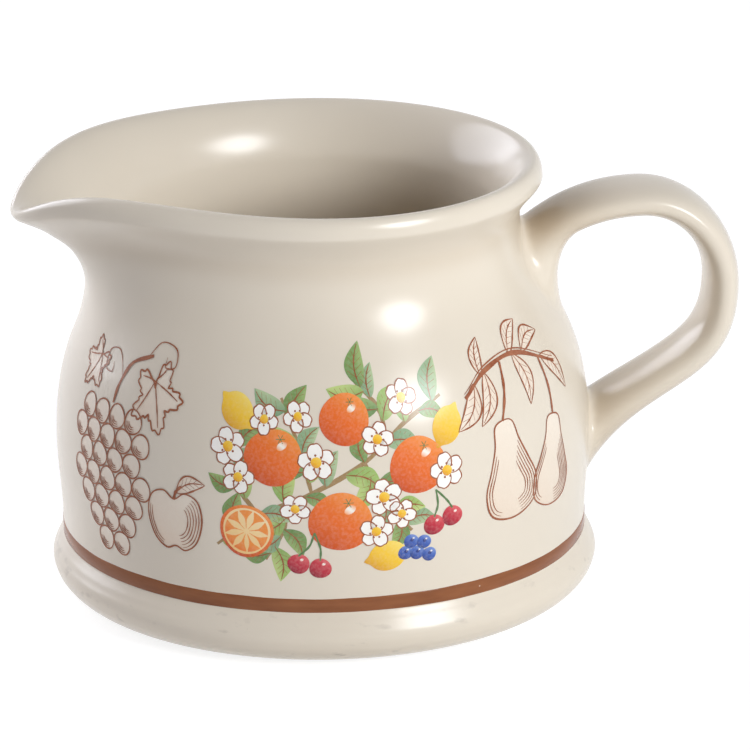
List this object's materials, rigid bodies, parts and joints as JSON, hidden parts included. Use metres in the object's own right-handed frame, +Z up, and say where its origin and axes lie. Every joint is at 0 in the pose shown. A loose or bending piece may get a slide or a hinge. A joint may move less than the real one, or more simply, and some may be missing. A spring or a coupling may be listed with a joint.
{
  "type": "creamer",
  "caption": "Small glazed stoneware creamer with a rounded belly, flared foot, rolled rim, pulled pouring lip and strap handle, for pouring cream or milk at the table.",
  "frame": {"origin": "on the table, under the middle of the creamer's whole length and width", "axes": "+X towards the handle, -X towards the pouring lip, +Z up, +Y to the left of someone who looks along +X"},
  "size_m": [0.1264, 0.095, 0.0771],
  "materials": {
    "glaze": "gloss",
    "slip": "satin",
    "enamel": "gloss"
  },
  "bodies": {
    "root": {"jug_body": "glaze", "handle": "glaze", "upper_slip_joint": "slip", "lower_slip_joint": "slip", "brown_band": "enamel"}
  },
  "joints": []
}
